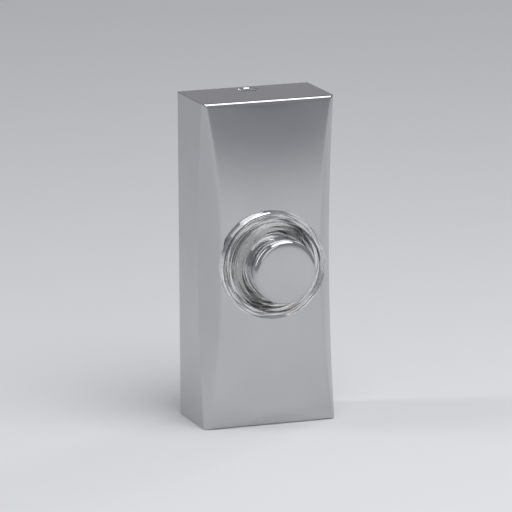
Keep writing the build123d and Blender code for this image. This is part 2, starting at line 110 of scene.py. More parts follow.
class ShaderGraph:
    """Nodes of one material, with the shader ready to be fed."""

    def __init__(self, name: str) -> None:
        """Starts the material.

        Args:
            name: Name of the material.
        """
        self.material = bpy.data.materials.new(name)
        self.material.use_nodes = True
        self.tree = self.material.node_tree
        self.shader = self.tree.nodes["Principled BSDF"]
        self.place = self.add("ShaderNodeTexCoord").outputs["Object"]

    def add(self, kind: str, **settings: object) -> bpy.types.Node:
        """Adds a node.

        Args:
            kind: Blender's name of the node type.
            settings: Properties of the node.

        Returns:
            The new node.
        """
        node = self.tree.nodes.new(kind)
        for name, value in settings.items():
            setattr(node, name, value)
        return node

    def link(self, source: bpy.types.NodeSocket, target: bpy.types.NodeSocket) -> None:
        """Joins two sockets."""
        self.tree.links.new(source, target)

    def constants(self, **values: object) -> None:
        """Sets sockets of the shader that are the same all over; a name's underscores stand for spaces."""
        for name, value in values.items():
            self.shader.inputs[name.replace("_", " ")].default_value = value

    def noise(self, scale: float, detail: float = 3.0, stretch: Place = (1, 1, 1)) -> bpy.types.NodeSocket:
        """Adds a noise pattern fixed to the piece.

        Args:
            scale: Blotches per metre.
            detail: Octaves of finer noise.
            stretch: Factors on the three axes.

        Returns:
            The noise value.
        """
        mapping = self.add("ShaderNodeMapping")
        mapping.inputs["Scale"].default_value = stretch
        self.link(self.place, mapping.inputs["Vector"])
        noise = self.add("ShaderNodeTexNoise")
        noise.inputs["Scale"].default_value = scale
        noise.inputs["Detail"].default_value = detail
        self.link(mapping.outputs["Vector"], noise.inputs["Vector"])
        return noise.outputs[0]

    def colour(
        self, value: bpy.types.NodeSocket, stops: list[tuple[float, Colour]], change: str = "LINEAR"
    ) -> None:
        """Colours the surface by a value.

        Args:
            value: What to read.
            stops: Positions and their colours.
            change: Blender's name of the change from stop to stop.
        """
        node = self.add("ShaderNodeValToRGB")
        node.color_ramp.interpolation = change
        elements = node.color_ramp.elements
        while len(elements) < len(stops):
            elements.new(0.5)
        for element, (position, colour) in zip(elements, stops):
            element.position = position
            element.color = (*colour, 1.0)
        self.link(value, node.inputs["Fac"])
        self.link(node.outputs["Color"], self.shader.inputs["Base Color"])

    def roughness(self, value: bpy.types.NodeSocket, low: float, high: float) -> None:
        """Maps the middle of a noise value onto a range of roughness.

        Args:
            value: Noise value.
            low: Roughness where the noise is low.
            high: Roughness where the noise is high.
        """
        node = self.add("ShaderNodeMapRange")
        node.inputs["From Min"].default_value = NOISE_LOW
        node.inputs["From Max"].default_value = NOISE_HIGH
        node.inputs["To Min"].default_value = low
        node.inputs["To Max"].default_value = high
        self.link(value, node.inputs["Value"])
        self.link(node.outputs["Result"], self.shader.inputs["Roughness"])

    def bump(self, height: bpy.types.NodeSocket, depth: float) -> None:
        """Adds relief on top of any that is there.

        Args:
            height: Pattern of the relief.
            depth: Height of the relief in metres.
        """
        node = self.add("ShaderNodeBump")
        node.inputs["Distance"].default_value = depth
        self.link(height, node.inputs["Height"])
        normal = self.shader.inputs["Normal"]
        if normal.is_linked:
            self.link(normal.links[0].from_socket, node.inputs["Normal"])
        self.link(node.outputs["Normal"], normal)


def shade(colour: Colour, factor: float) -> Colour:
    """Gives a lighter or darker version of a colour."""
    return tuple(min(1.0, channel * factor) for channel in colour)


class Finish(ABC):
    """What a surface is made of and how it was finished."""

    @abstractmethod
    def material(self, name: str) -> bpy.types.Material:
        """Builds the material under a name."""


@dataclass(frozen=True)
class ChromePlate(Finish):
    """Bright chrome over a polished casting: a mirror with a faint long wave and a little haze."""

    tint: Colour = (0.55, 0.555, 0.567)
    polish: float = 0.015
    haze: float = 0.035
    wave_scale: float = 110.0
    wave_depth: float = 2.2e-6
    pit_scale: float = 2600.0
    pit_depth: float = 2.5e-7
    cloud_scale: float = 70.0
    wipe_scale: float = 240.0
    wipe_stretch: Place = (1.0, 1.0, 0.25)

    def material(self, name: str) -> bpy.types.Material:
        """Builds the chrome under a name."""
        graph = ShaderGraph(name)
        cloud = graph.noise(self.cloud_scale, 4.0)
        graph.colour(cloud, [(NOISE_LOW, shade(self.tint, 0.97)), (NOISE_HIGH, shade(self.tint, 1.03))])
        wipe = graph.noise(self.wipe_scale, 5.0, self.wipe_stretch)
        graph.roughness(wipe, self.polish, self.haze)
        graph.bump(graph.noise(self.wave_scale, 2.0), self.wave_depth)
        graph.bump(graph.noise(self.pit_scale, 2.0), self.pit_depth)
        graph.constants(Metallic=1.0)
        return graph.material


@dataclass(frozen=True)
class Metal(Finish):
    """Bare or plated metal with the grain that rolling, drawing or turning leaves."""

    tint: Colour
    stain: Colour
    polish: float = 0.2
    haze: float = 0.38
    grain_scale: float = 900.0
    grain_stretch: Place = (1.0, 1.0, 1.0)
    grain_depth: float = 4.0e-6
    stain_scale: float = 320.0

    def material(self, name: str) -> bpy.types.Material:
        """Builds the metal under a name."""
        graph = ShaderGraph(name)
        cloud = graph.noise(self.stain_scale, 5.0)
        graph.colour(cloud, [(0.28, self.stain), (0.5, self.tint), (0.75, shade(self.tint, 1.06))])
        grain = graph.noise(self.grain_scale, 4.0, self.grain_stretch)
        graph.roughness(grain, self.polish, self.haze)
        graph.bump(grain, self.grain_depth)
        graph.constants(Metallic=1.0)
        return graph.material


@dataclass(frozen=True)
class Moulding(Finish):
    """Moulded plastic with fine spark-eroded grain and faint flow marks."""

    tint: Colour
    gloss: float = 0.42
    dull: float = 0.6
    grain_scale: float = 5200.0
    grain_depth: float = 1.6e-5
    flow_scale: float = 90.0
    flow_stretch: Place = (1.0, 1.0, 0.35)
    bend: float = 1.5

    def material(self, name: str) -> bpy.types.Material:
        """Builds the plastic under a name."""
        graph = ShaderGraph(name)
        flow = graph.noise(self.flow_scale, 5.0, self.flow_stretch)
        tones = [(0.3, shade(self.tint, 0.84)), (0.52, self.tint), (0.72, shade(self.tint, 1.14))]
        graph.colour(flow, tones)
        graph.roughness(flow, self.gloss, self.dull)
        graph.bump(graph.noise(self.grain_scale, 2.0), self.grain_depth)
        graph.constants(IOR=self.bend)
        return graph.material


@dataclass(frozen=True)
class ClearMoulding(Finish):
    """Clear plastic with a trace of haze and the faint flow lines of the mould."""

    tint: Colour = (0.985, 0.987, 0.985)
    polish: float = 0.0
    haze: float = 0.03
    bend: float = 1.49
    flow_depth: float = 2.0e-6
    cloud_scale: float = 160.0
    flow_scale: float = 420.0

    def material(self, name: str) -> bpy.types.Material:
        """Builds the clear plastic under a name."""
        graph = ShaderGraph(name)
        cloud = graph.noise(self.cloud_scale, 3.0)
        graph.colour(cloud, [(NOISE_LOW, shade(self.tint, 0.985)), (NOISE_HIGH, shade(self.tint, 1.01))])
        graph.roughness(cloud, self.polish, self.haze)
        graph.bump(graph.noise(self.flow_scale, 2.0), self.flow_depth)
        graph.constants(IOR=self.bend, Transmission_Weight=1.0)
        return graph.material


@dataclass(frozen=True)
class BandedLacquer(Finish):
    """Resistor lacquer with colour bands across its body and bare tinned wire past its ends."""

    body: Colour
    wire: Colour
    bands: tuple[Colour, ...]
    low: float
    high: float
    polish: float = 0.16
    haze: float = 0.34
    cloud_scale: float = 1500.0
    cloud_depth: float = 6.0e-6
    body_start: float = 0.1
    body_end: float = 0.9

    def material(self, name: str) -> bpy.types.Material:
        """Builds the banded lacquer under a name."""
        graph = ShaderGraph(name)
        split = graph.add("ShaderNodeSeparateXYZ")
        graph.link(graph.place, split.inputs["Vector"])
        along = graph.add("ShaderNodeMapRange")
        along.inputs["From Min"].default_value = self.low
        along.inputs["From Max"].default_value = self.high
        along.inputs["To Min"].default_value = self.body_start
        along.inputs["To Max"].default_value = self.body_end
        graph.link(split.outputs["Z"], along.inputs["Value"])
        stops = [(0.0, self.wire), (self.body_start, self.body)]
        pitch = (self.body_end - self.body_start) / (len(self.bands) + 1)
        for index, band in enumerate(self.bands):
            start = self.body_start + pitch * (index + 0.7)
            stops += [(start, band), (start + pitch * 0.6, self.body)]
        stops.append((self.body_end, self.wire))
        graph.colour(along.outputs["Result"], stops, "CONSTANT")
        cloud = graph.noise(self.cloud_scale, 3.0)
        graph.roughness(cloud, self.polish, self.haze)
        graph.bump(cloud, self.cloud_depth)
        return graph.material


CHROME = ChromePlate()
BUTTON_CHROME = ChromePlate(polish=0.03, haze=0.06)
CLEAR = ClearMoulding()
ZINC = Metal((0.66, 0.67, 0.68), (0.5, 0.51, 0.53), 0.18, 0.34)
SPRING_STEEL = Metal((0.47, 0.48, 0.5), (0.33, 0.33, 0.35), 0.2, 0.36, 1400.0, (1.0, 0.3, 1.0))
BRASS = Metal((0.76, 0.57, 0.24), (0.52, 0.36, 0.15), 0.2, 0.36, 1200.0, (1.0, 1.0, 0.12))
BRONZE = Metal((0.68, 0.43, 0.24), (0.47, 0.28, 0.15), 0.2, 0.36, 1200.0, (1.0, 1.0, 0.12))
SILVER = Metal((0.85, 0.84, 0.81), (0.6, 0.58, 0.54), 0.14, 0.3)
TINNED = Metal((0.72, 0.72, 0.71), (0.5, 0.5, 0.49), 0.26, 0.44, 2200.0)
BLACK_MOULDING = Moulding((0.05, 0.05, 0.055))
CAST = Metal((0.78, 0.785, 0.79), (0.68, 0.685, 0.69), 0.72, 0.9, 1500.0, grain_depth=1.2e-5)
PLATED_SEAT = Metal((0.7, 0.702, 0.706), (0.64, 0.642, 0.646), 0.05, 0.09, 1500.0, grain_depth=5.0e-7)
NATURAL_MOULDING = Moulding((0.93, 0.93, 0.91), 0.34, 0.5, 4200.0, 8.0e-6)
LAMP_RESIN = ClearMoulding((0.96, 0.95, 0.9), 0.02, 0.06, 1.54)


def corner_arc(before: Point, corner: Point, after: Point, radius: float, steps: int) -> list[Point]:
    """Rounds one corner of an outline.

    Args:
        before: Point before the corner.
        corner: The sharp corner.
        after: Point after the corner.
        radius: Radius of the round.
        steps: Number of chords on the arc.

    Returns:
        Points of the arc, in order.
    """
    here = Vector(corner)
    back = (Vector(before) - here).normalized()
    ahead = (Vector(after) - here).normalized()
    opening = acos(max(-1.0, min(1.0, back.dot(ahead))))
    setback = radius / tan(opening / 2)
    centre = here + (back + ahead).normalized() * (radius / sin(opening / 2))
    start = here + back * setback - centre
    end = here + ahead * setback - centre
    sweep = pi - opening
    points = []
    for index in range(steps + 1):
        share = index / steps
        arm = (start * sin((1 - share) * sweep) + end * sin(share * sweep)) / sin(sweep)
        points.append(tuple(centre + arm))
    return points


def rounded_outline(corners: list[Corner], steps: int = 5, closed: bool = True) -> list[Point]:
    """Draws an outline through corners, each with its own round.

    Args:
        corners: Across, along and round of each corner.
        steps: Chords on each round.
        closed: Whether the last corner leads back to the first.

    Returns:
        Points of the outline; a closed one repeats its first point at the end.
    """
    points = []
    count = len(corners)
    for index, (across, along, radius) in enumerate(corners):
        at_end = not closed and index in (0, count - 1)
        if radius <= 0 or at_end:
            points.append((across, along))
            continue
        before = corners[index - 1][:2]
        after = corners[(index + 1) % count][:2]
        points += corner_arc(before, (across, along), after, radius, steps)
    if closed:
        points.append(points[0])
    return points


def new_piece(name: str, data: bpy.types.ID) -> bpy.types.Object:
    """Puts a mesh, light or camera in the scene as an object at the origin.

    Args:
        name: Name of the object.
        data: Its mesh, light or camera.

    Returns:
        The object.
    """
    piece = bpy.data.objects.new(name, data)
    bpy.context.scene.collection.objects.link(piece)
    return piece


def mesh_piece(name: str, points: list[Place], faces: list[list[int]]) -> bpy.types.Object:
    """Makes a closed piece from points and faces, with its faces outwards.

    Args:
        name: Name of the piece.
        points: Corners.
        faces: Corner numbers of each face.

    Returns:
        The object.
    """
    mesh = bpy.data.meshes.new(name)
    mesh.from_pydata(points, [], faces)
    piece = new_piece(name, mesh)
    close_seams(piece)
    return piece


def close_seams(piece: bpy.types.Object) -> None:
    """Merges doubled points of a piece and turns its faces outwards."""
    mould = bmesh.new()
    mould.from_mesh(piece.data)
    bmesh.ops.remove_doubles(mould, verts=mould.verts, dist=WELD)
    bmesh.ops.recalc_face_normals(mould, faces=mould.faces)
    mould.to_mesh(piece.data)
    mould.free()


def bake(piece: bpy.types.Object) -> None:
    """Turns a piece's modifiers into plain mesh."""
    shaped = piece.evaluated_get(bpy.context.evaluated_depsgraph_get())
    piece.data = bpy.data.meshes.new_from_object(shaped)
    piece.modifiers.clear()


def smooth(piece: bpy.types.Object, sharp: float = radians(30)) -> None:
    """Shades a piece smoothly but for its sharp edges, and keeps its flats flat.

    Args:
        piece: The piece.
        sharp: Angle from which an edge is sharp.
    """
    piece.data.shade_smooth()
    piece.data.set_sharp_from_angle(angle=sharp)
    even = piece.modifiers.new("even_normals", "WEIGHTED_NORMAL")
    even.keep_sharp = True
    bake(piece)


def cut(piece: bpy.types.Object, *tools: bpy.types.Object) -> None:
    """Cuts a piece with tools, which are used up.

    Args:
        piece: The piece.
        tools: Solids to take away from it.
    """
    for tool in tools:
        modifier = piece.modifiers.new(tool.name, "BOOLEAN")
        modifier.operation = "DIFFERENCE"
        modifier.solver = "EXACT"
        modifier.object = tool
    bake(piece)
    for tool in tools:
        bpy.data.objects.remove(tool)


def box_tool(name: str, low: Place, high: Place) -> bpy.types.Object:
    """Makes a square-edged cutting block between two corners.

    Args:
        name: Name of the tool.
        low: Lowest corner.
        high: Highest corner.

    Returns:
        The object.
    """
    points = [(x, y, z) for x in (low[0], high[0]) for y in (low[1], high[1]) for z in (low[2], high[2])]
    faces = [[0, 1, 3, 2], [4, 6, 7, 5], [0, 4, 5, 1], [2, 3, 7, 6], [0, 2, 6, 4], [1, 5, 7, 3]]
    return mesh_piece(name, points, faces)


def dress(piece: bpy.types.Object, material: bpy.types.Material) -> None:
    """Gives every face of a piece one material."""
    piece.data.materials.clear()
    piece.data.materials.append(material)
    for face in piece.data.polygons:
        face.material_index = 0


def stand_for(piece: bpy.types.Object, body: Body, node: str) -> None:
    """Makes a finished piece ride on a body and stand for a CAD node.

    Args:
        piece: The piece.
        body: What it moves with.
        node: The CAD node that it replaces.
    """
    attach(piece, body.value)
    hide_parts(node)
    LOG.info("%s: %d faces on %s", piece.name, len(piece.data.polygons), body.value)


class ShapeTree:
    """Geometry node tree with named inputs, ended by Realize Instances and Set Material."""

    def __init__(self, name: str, inputs: dict[str, str]) -> None:
        """Starts the tree.

        Args:
            name: Name of the tree.
            inputs: Kind of each named input.
        """
        self.tree = bpy.data.node_groups.new(name, "GeometryNodeTree")
        self.sockets = {}
        for label, kind in {**inputs, "Material": "NodeSocketMaterial"}.items():
            self.sockets[label] = self.tree.interface.new_socket(label, in_out="INPUT", socket_type=kind)
        self.tree.interface.new_socket("Shape", in_out="OUTPUT", socket_type="NodeSocketGeometry")
        self.inputs = self.tree.nodes.new("NodeGroupInput").outputs

    def add(self, kind: str, feeds: dict[str, object], **settings: object) -> bpy.types.Node:
        """Adds a node and feeds it.

        Args:
            kind: Blender's name of the node type.
            feeds: What goes into its inputs: a socket to link or a plain value, by input name or number.
            settings: Properties of the node.

        Returns:
            The new node.
        """
        node = self.tree.nodes.new(kind)
        for name, value in settings.items():
            setattr(node, name, value)
        for key, value in feeds.items():
            if isinstance(value, bpy.types.NodeSocket):
                self.tree.links.new(value, node.inputs[key])
            else:
                node.inputs[key].default_value = value
        return node

    def math(self, operation: str, first: object, second: object = 0.0) -> bpy.types.NodeSocket:
        """Adds a sum.

        Args:
            operation: Blender's name of the sum.
            first: First socket or number.
            second: Second socket or number.

        Returns:
            The result.
        """
        return self.add("ShaderNodeMath", {0: first, 1: second}, operation=operation).outputs[0]

    def stretch(self, value: object, start: object, end: object, rise: object) -> bpy.types.NodeSocket:
        """Adds a clamped rise from nothing, over a part of a value's range.

        Args:
            value: What to read.
            start: Where the rise starts.
            end: Where it ends.
            rise: How far it rises.

        Returns:
            The height reached.
        """
        feeds = {"Value": value, "From Min": start, "From Max": end, "To Min": 0.0, "To Max": rise}
        return self.add("ShaderNodeMapRange", feeds).outputs["Result"]

    def end(self, shape: bpy.types.NodeSocket) -> None:
        """Finishes the tree with a geometry."""
        whole = self.add("GeometryNodeRealizeInstances", {"Geometry": shape}).outputs["Geometry"]
        feeds = {"Geometry": whole, "Material": self.inputs["Material"]}
        coated = self.add("GeometryNodeSetMaterial", feeds).outputs["Geometry"]
        self.add("NodeGroupOutput", {"Shape": coated})

    def make(self, name: str, values: dict[str, object]) -> bpy.types.Object:
        """Runs the tree and keeps its result as a plain mesh.

        Args:
            name: Name of the piece.
            values: Value of each named input.

        Returns:
            The piece.
        """
        piece = new_piece(name, bpy.data.meshes.new(name))
        modifier = piece.modifiers.new(name, "NODES")
        modifier.node_group = self.tree
        for label, value in values.items():
            modifier[self.sockets[label].identifier] = value
        bake(piece)
        close_seams(piece)
        return piece


class TurningTree(ShapeTree):
    """Turns a profile round an axis, as a lathe does."""

    def __init__(self) -> None:
        """Builds the tree: a grid with one row for each profile point, rolled up round the axis."""
        kinds = {
            "Profile": "NodeSocketObject",
            "Segments": "NodeSocketInt",
            "Place": "NodeSocketVector",
            "Turn": "NodeSocketRotation",
        }
        super().__init__("turned_shape", kinds)
        info = self.add("GeometryNodeObjectInfo", {"Object": self.inputs["Profile"]})
        profile = info.outputs["Geometry"]
        size = self.add("GeometryNodeAttributeDomainSize", {"Geometry": profile}, component="MESH")
        around = self.math("ADD", self.inputs["Segments"], 1.0)
        rows = size.outputs["Point Count"]
        grid = self.add("GeometryNodeMeshGrid", {"Vertices X": rows, "Vertices Y": around})
        index = self.add("GeometryNodeInputIndex", {}).outputs[0]
        row = self.math("FLOOR", self.math("DIVIDE", self.math("ADD", index, 0.5), around))
        column = self.math("SUBTRACT", index, self.math("MULTIPLY", row, around))
        place = self.add("GeometryNodeInputPosition", {}).outputs[0]
        feeds = {"Geometry": profile, "Value": place, "Index": row}
        sampled = self.add("GeometryNodeSampleIndex", feeds, data_type="FLOAT_VECTOR").outputs[0]
        split = self.add("ShaderNodeSeparateXYZ", {"Vector": sampled}).outputs
        step = self.math("DIVIDE", 2 * pi, self.inputs["Segments"])
        angle = self.math("MULTIPLY", column, step)
        x = self.math("MULTIPLY", split["X"], self.math("COSINE", angle))
        y = self.math("MULTIPLY", split["X"], self.math("SINE", angle))
        rolled = self.add("ShaderNodeCombineXYZ", {"X": x, "Y": y, "Z": split["Y"]}).outputs[0]
        feeds = {"Geometry": grid.outputs["Mesh"], "Position": rolled}
        shape = self.add("GeometryNodeSetPosition", feeds).outputs["Geometry"]
        feeds = {"Geometry": shape, "Translation": self.inputs["Place"], "Rotation": self.inputs["Turn"]}
        placed = self.add("GeometryNodeTransform", feeds).outputs["Geometry"]
        self.end(placed)

    def turned(
        self,
        name: str,
        profile: list[Point],
        place: Place = (0, 0, 0),
        turn: Place = (pi / 2, 0, 0),
        segments: int = 192,
    ) -> bpy.types.Object:
        """Turns one profile into a bare piece, to be cut and dressed, or into a cutting tool.

        Args:
            name: Name of the piece.
            profile: Radius and height of each point, in order.
            place: Where the axis starts.
            turn: Turn from an upright axis; the usual one points it out from the wall.
            segments: Number of flats round the axis.

        Returns:
            The piece.
        """
        line = bpy.data.meshes.new(name + "_profile")
        edges = [(index, index + 1) for index in range(len(profile) - 1)]
        line.from_pydata([(radius, height, 0.0) for radius, height in profile], edges, [])
        guide = new_piece(name + "_profile", line)
        values = {"Profile": guide, "Segments": segments, "Place": place, "Turn": turn}
        piece = self.make(name, values)
        bpy.data.objects.remove(guide)
        return piece


class CoilTree(ShapeTree):
    """Winds a round wire into a compression spring with closed ends."""

    wire_sides: int = 12

    def __init__(self) -> None:
        """Builds the tree: a spiral whose first and last turns lie close, swept with a round wire."""
        kinds = {label: "NodeSocketFloat" for label in ("Radius", "Wire", "Length", "Turns", "Dead Turns")}
        super().__init__("wound_coil", {**kinds, "Steps": "NodeSocketInt"})
        dead = self.inputs["Dead Turns"]
        turns = self.inputs["Turns"]
        live_end = self.math("ADD", dead, turns)
        rotations = self.math("ADD", live_end, dead)
        radius = self.inputs["Radius"]
        feeds = {"Resolution": self.inputs["Steps"], "Rotations": rotations, "Height": 0.0}
        feeds |= {"Start Radius": radius, "End Radius": radius}
        spiral = self.add("GeometryNodeCurveSpiral", feeds).outputs["Curve"]
        factor = self.add("GeometryNodeSplineParameter", {}).outputs["Factor"]
        turn = self.math("MULTIPLY", factor, rotations)
        wire = self.inputs["Wire"]
        dead_rise = self.math("MULTIPLY", dead, wire)
        live_rise = self.math("SUBTRACT", self.inputs["Length"], self.math("MULTIPLY", dead_rise, 2.0))
        live_rise = self.math("SUBTRACT", live_rise, wire)
        low = self.stretch(turn, 0.0, dead, dead_rise)
        middle = self.stretch(turn, dead, live_end, live_rise)
        high = self.stretch(turn, live_end, rotations, dead_rise)
        height = self.math("ADD", self.math("ADD", low, middle), high)
        height = self.math("ADD", height, self.math("DIVIDE", wire, 2.0))
        place = self.add("GeometryNodeInputPosition", {}).outputs[0]
        split = self.add("ShaderNodeSeparateXYZ", {"Vector": place}).outputs
        lifted = self.add("ShaderNodeCombineXYZ", {"X": split["X"], "Y": split["Y"], "Z": height}).outputs[0]
        feeds = {"Geometry": spiral, "Position": lifted}
        path = self.add("GeometryNodeSetPosition", feeds).outputs["Geometry"]
        feeds = {"Resolution": self.wire_sides, "Radius": self.math("DIVIDE", wire, 2.0)}
        section = self.add("GeometryNodeCurvePrimitiveCircle", feeds).outputs["Curve"]
        feeds = {"Curve": path, "Profile Curve": section, "Fill Caps": True}
        self.end(self.add("GeometryNodeCurveToMesh", feeds).outputs["Mesh"])


@dataclass
class Cover:
    """Plated casting: doubly crowned front, a long scallop down each front edge, hollow from behind."""

    half_width: float = 16.8 * MM
    half_height: float = 40.0 * MM
    depth: float = 18.4 * MM
    crown: float = 1.5 * MM
    crown_fade: float = 0.27
    scallop_across: float = 0.8027
    scallop_forward: float = 0.5965
    scallop_side_reach: float = 4.2 * MM
    scallop_radius: float = 401.4 * MM
    scallop_span: float = 6.8 * MM
    scallop_swell: float = 0.2 * MM
    scallop_flat: float = 0.65
    face_soften: float = 0.6 * MM
    face_round: float = 0.95 * MM
    side_round: float = 0.4 * MM
    front_end_round: float = 0.7 * MM
    side_end_round: float = 0.22 * MM
    back_round: float = 0.2 * MM
    side_wall: float = 1.5 * MM
    pocket_level: float = 16.8 * MM
    seat_level: float = 19.55 * MM
    seat_radius: float = 13.2 * MM
    lens_hole_radius: float = 10.6 * MM
    pad_half_width: float = 5.0 * MM
    pad_bottom: float = 36.9 * MM
    pad_depth: float = 8.0 * MM
    screw_level: float = 4.0 * MM
    screw_seat: float = 38.2 * MM
    screw_bore: float = 2.5 * MM
    screw_hole: float = 1.4 * MM
    notch_half_width: float = 5.3 * MM
    notch_bottom: float = -39.2 * MM
    notch_levels: Point = (1.0 * MM, 2.5 * MM)
    front_columns: int = 34
    round_steps: int = 6
    body_rows: int = 150
    end_rows: int = 7
    pocket_rows: int = 40
    scallop_shares: tuple[float, ...] = (0.04, 0.16, 0.3, 0.45, 0.6, 0.75, 0.88, 0.96)
    side_shares: tuple[float, ...] = (0.02, 0.5, 0.98)
    ease_width: float = 0.8 * MM
    least_step: float = 0.01 * MM
    seat_margin: float = 0.05 * MM
    bore_chamfer: float = 0.2 * MM
    pocket_overrun: float = 2.0 * MM
    pad_overrun: float = 5.0 * MM
    front_overrun: float = 6.0 * MM

    def crown_at(self, height: float) -> float:
        """Gives how far the middle of the front stands out at a height, past its ends."""
        return self.crown * (1 - (height / self.half_height) ** 2)

    def scallop_sag(self, height: float) -> float:
        """Gives how far the scallop has come out of the body at a height, from its deepest."""
        return self.scallop_radius - sqrt(self.scallop_radius**2 - height**2)

    def section(self, height: float, front_drop: float, inset: float) -> list[Point]:
        """Draws the right half of the outside at a height, from the middle of the front to the back.

        Args:
            height: Where to cut.
            front_drop: How far the end round has drawn the front back.
            inset: How far the end round has drawn the sides in.

        Returns:
            Distance from the middle and level of each point.
        """
        rise = self.crown_at(height)
        fade = rise * self.crown_fade / self.half_width**2
        side = self.half_width - inset
        reach = self.scallop_sag(height) - inset
        slope_start = self.depth - self.scallop_side_reach + reach / self.scallop_forward
        side_level = slope_start + self.scallop_across / self.scallop_forward * inset

        # Where the scallop meets the front
        constant = -self.scallop_across * self.half_width - reach
        constant += self.scallop_forward * (rise - front_drop + self.scallop_side_reach)
        bend = -self.scallop_forward * fade
        root = sqrt(self.scallop_across**2 - 4 * bend * constant)
        edge = -2 * constant / (self.scallop_across + root)
        edge_level = self.depth + rise - front_drop - fade * edge**2
        front_slope = -2 * fade * edge

        width = sqrt((side - edge) ** 2 + (edge_level - side_level) ** 2)
        ease = min(1.0, width / self.ease_width)
        face_corner = (edge, edge_level)
        side_corner = (side, side_level)
        before = (edge - MM, edge_level - front_slope * MM)
        face_round = self.face_round * ease + self.face_soften * width / self.scallop_span
        face_arc = corner_arc(before, face_corner, side_corner, face_round, self.round_steps)
        side_arc = corner_arc(face_corner, side_corner, (side, 0.0), self.side_round * ease, self.round_steps)
        back_arc = corner_arc(side_corner, (side, 0.0), (0.0, 0.0), self.back_round, 3)

        points = []
        for index in range(self.front_columns):
            x = face_arc[0][0] * index / self.front_columns
            points.append((x, self.depth + rise - front_drop - fade * x**2))
        points += face_arc
        (start_x, start_level), (end_x, end_level) = face_arc[-1], side_arc[0]
        for share in self.scallop_shares:
            fall = max(0.0, 1 - share / self.scallop_flat) ** 3
            swell = self.scallop_swell * (width / self.scallop_span) ** 2 * (1 - share - fall)
            x = start_x + (end_x - start_x) * share + self.scallop_across * swell
            level = start_level + (end_level - start_level) * share + self.scallop_forward * swell
            points.append((x, level))
        points += side_arc
        for share in self.side_shares:
            points.append((side, side_arc[-1][1] + (back_arc[0][1] - side_arc[-1][1]) * share))
        return points + back_arc

    def rows(self) -> list[tuple[float, float, float]]:
        """Lists the heights to cut, from the bottom, with the front drop and side inset of each."""
        upper = []
        for index in range(self.end_rows + 1):
            turn = pi / 2 * index / self.end_rows
            height = self.half_height - self.front_end_round * (1 - sin(turn))
            drop = self.front_end_round * (1 - cos(turn))
            past = max(0.0, height - self.half_height + self.side_end_round)
            inset = self.side_end_round - sqrt(self.side_end_round**2 - past**2)
            upper.append((height, drop, inset))
        straight = self.half_height - self.front_end_round
        middle = []
        for index in range(1, self.body_rows):
            middle.append((straight * (2 * index / self.body_rows - 1), 0.0, 0.0))
        lower = [(-height, drop, inset) for height, drop, inset in reversed(upper)]
        return lower + middle + upper

    def outside(self) -> bpy.types.Object:
        """Lofts the sections into a solid block with the cover's outside."""
        points = []
        rings = []
        for height, drop, inset in self.rows():
            half = self.section(height, drop, inset)
            ring = [(-x, level) for x, level in reversed(half[1:])] + half
            start = len(points)
            points += [(x, -level, height) for x, level in ring]
            rings.append(list(range(start, len(points))))
        count = len(rings[0])
        faces = [rings[0], rings[-1]]
        for low, high in zip(rings, rings[1:]):
            for index in range(count):
                after = (index + 1) % count
                faces.append([low[index], low[after], high[after], high[index]])
        return mesh_piece("cover_shell", points, faces)

    def pocket(self) -> bpy.types.Object:
        """Lofts the hollow inside, which follows the scallops and leaves a pad for the cover screw."""
        side = self.half_width - self.side_wall
        top = self.half_height - self.side_wall
        points = []
        row_count = self.pocket_rows
        for row in range(row_count + 1):
            height = top * (2 * row / row_count - 1)
            sag = self.scallop_sag(height) - self.side_wall
            side_level = self.depth - self.scallop_side_reach
            side_level += (sag + self.scallop_across * self.side_wall) / self.scallop_forward
            step = sag - self.scallop_forward * (self.pocket_level - self.depth + self.scallop_side_reach)
            edge = self.half_width + step / self.scallop_across
            side_level = min(side_level, self.pocket_level - self.least_step)
            edge = min(edge, side - self.least_step)
            half = [(edge, self.pocket_level), (side, side_level), (side, -self.pocket_overrun)]
            ring = half + [(-x, level) for x, level in reversed(half)]
            points += [(x, -level, height) for x, level in ring]
        faces = [list(range(6)), list(range(6 * row_count, 6 * row_count + 6))]
        for row in range(row_count):
            for index in range(6):
                after = (index + 1) % 6
                low = 6 * row
                faces.append([low + index, low + after, low + 6 + after, low + 6 + index])
        hollow = mesh_piece("pocket_tool", points, faces)
        low = (-self.pad_half_width, -self.pad_depth, self.pad_bottom)
        high = (self.pad_half_width, self.pad_overrun, self.half_height)
        cut(hollow, box_tool("pad", low, high))
        return hollow

    def build(self, lathe: TurningTree) -> bpy.types.Object:
        """Makes the shell: the outside, hollowed, with lens seat, screw bore and hook notch.

        Args:
            lathe: Tree that turns the round cutting tools.

        Returns:
            The shell.
        """
        shell = self.outside()
        front = self.depth + self.front_overrun
        rim = self.half_height + self.bore_chamfer
        lens_tool = [
            (0.0, self.pocket_level - MM),
            (self.lens_hole_radius, self.pocket_level - MM),
            (self.lens_hole_radius, self.seat_level),
            (self.seat_radius, self.seat_level),
            (self.seat_radius, front),
            (0.0, front),
        ]
        screw_tool = [
            (0.0, self.pad_bottom - MM),
            (self.screw_hole, self.pad_bottom - MM),
            (self.screw_hole, self.screw_seat),
            (self.screw_bore, self.screw_seat),
            (self.screw_bore, self.half_height - self.bore_chamfer),
            (self.screw_bore + 2 * self.bore_chamfer, rim),
            (0.0, rim),
        ]
        notch_low = (-self.notch_half_width, -self.notch_levels[1], self.notch_bottom)
        notch_high = (self.notch_half_width, -self.notch_levels[0], -self.half_height + self.side_wall + MM)
        cut(
            shell,
            self.pocket(),
            lathe.turned("lens_tool", lens_tool),
            lathe.turned("screw_tool", screw_tool, (0, -self.screw_level, 0), UPRIGHT, SMALL_SEGMENTS),
            box_tool("notch_tool", notch_low, notch_high),
        )
        smooth(shell)
        return shell

